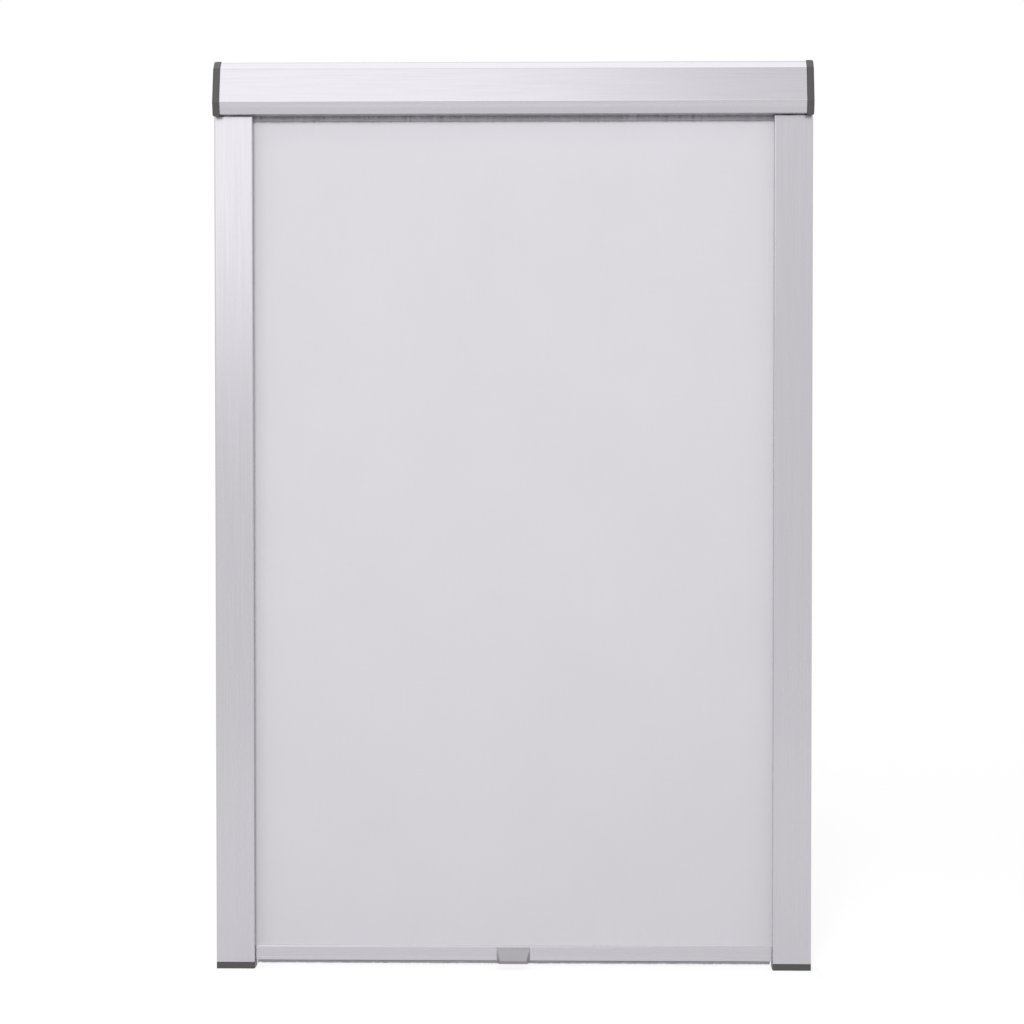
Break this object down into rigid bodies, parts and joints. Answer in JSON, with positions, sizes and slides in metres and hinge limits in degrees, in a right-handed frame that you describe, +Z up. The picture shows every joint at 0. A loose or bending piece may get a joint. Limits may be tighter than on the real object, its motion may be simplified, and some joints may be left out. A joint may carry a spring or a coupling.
{
  "type": "skylight window blind",
  "caption": "Blackout roller blind for a roof window: closed cassette, side rails, and a bottom bar with a finger grip that slides in the rails.",
  "frame": {"origin": "centre of the cassette's back face", "axes": "+X to the right seen from the room, +Y backwards towards the pane, +Z up along the rails"},
  "size_m": [0.612, 0.0447, 0.932],
  "materials": {
    "satin_aluminium": "satin anodised",
    "dark_grey_plastic": "fine matt moulded",
    "mid_grey_plastic": "satin moulded",
    "white_acetal": "smooth natural",
    "blackout_fabric": "coated fine plain weave",
    "grey_pile": "short dense pile",
    "zinc_plated_steel": "zinc plated",
    "spring_steel": "drawn, lightly oiled"
  },
  "bodies": {
    "frame": {"cassette_cover": "satin_aluminium", "cassette_back_plate": "satin_aluminium", "cassette_cap_left": "dark_grey_plastic", "cassette_cap_right": "dark_grey_plastic", "cap_screw_left_1": "zinc_plated_steel", "cap_screw_left_2": "zinc_plated_steel", "cap_screw_left_3": "zinc_plated_steel", "cap_screw_right_1": "zinc_plated_steel", "cap_screw_right_2": "zinc_plated_steel", "cap_screw_right_3": "zinc_plated_steel", "mounting_bracket_left": "zinc_plated_steel", "mounting_bracket_right": "zinc_plated_steel", "slot_pile": "grey_pile", "side_rail_left": "satin_aluminium", "side_rail_right": "satin_aluminium", "rail_cap_left": "dark_grey_plastic", "rail_cap_right": "dark_grey_plastic", "rail_pile_left": "grey_pile", "rail_pile_right": "grey_pile", "spring_shaft": "zinc_plated_steel", "spring_anchor_plug": "white_acetal", "roller_spring": "spring_steel", "idle_pin": "zinc_plated_steel", "fabric_panel": "blackout_fabric"},
    "roller": {"roller_tube": "satin_aluminium", "spring_end_bush": "dark_grey_plastic", "idle_end_plug": "dark_grey_plastic", "spring_drive_plug": "white_acetal", "fabric_roll": "blackout_fabric"},
    "bar": {"bottom_bar": "satin_aluminium", "fabric_hem_rod": "blackout_fabric", "bar_pile_seal": "grey_pile", "pull_grip": "mid_grey_plastic", "slide_shoe_left": "white_acetal", "slide_shoe_right": "white_acetal", "brake_spring_left": "spring_steel", "brake_spring_right": "spring_steel"}
  },
  "joints": [
    {"name": "bar_slide", "type": "slide", "parent": "frame", "child": "bar", "axis": [0, 0, 1], "range_m": [0, 0.8489], "deforming": ["fabric_panel"]},
    {"name": "roller_spin", "type": "hinge", "parent": "frame", "child": "roller", "pos_m": [0, -0.02138, 0], "axis": [1, 0, 0], "range_deg": [0, 3840]}
  ],
  "couplings": [
    {"joint": "roller_spin", "follows": "bar_slide", "rad_per_m": 78.585}
  ]
}
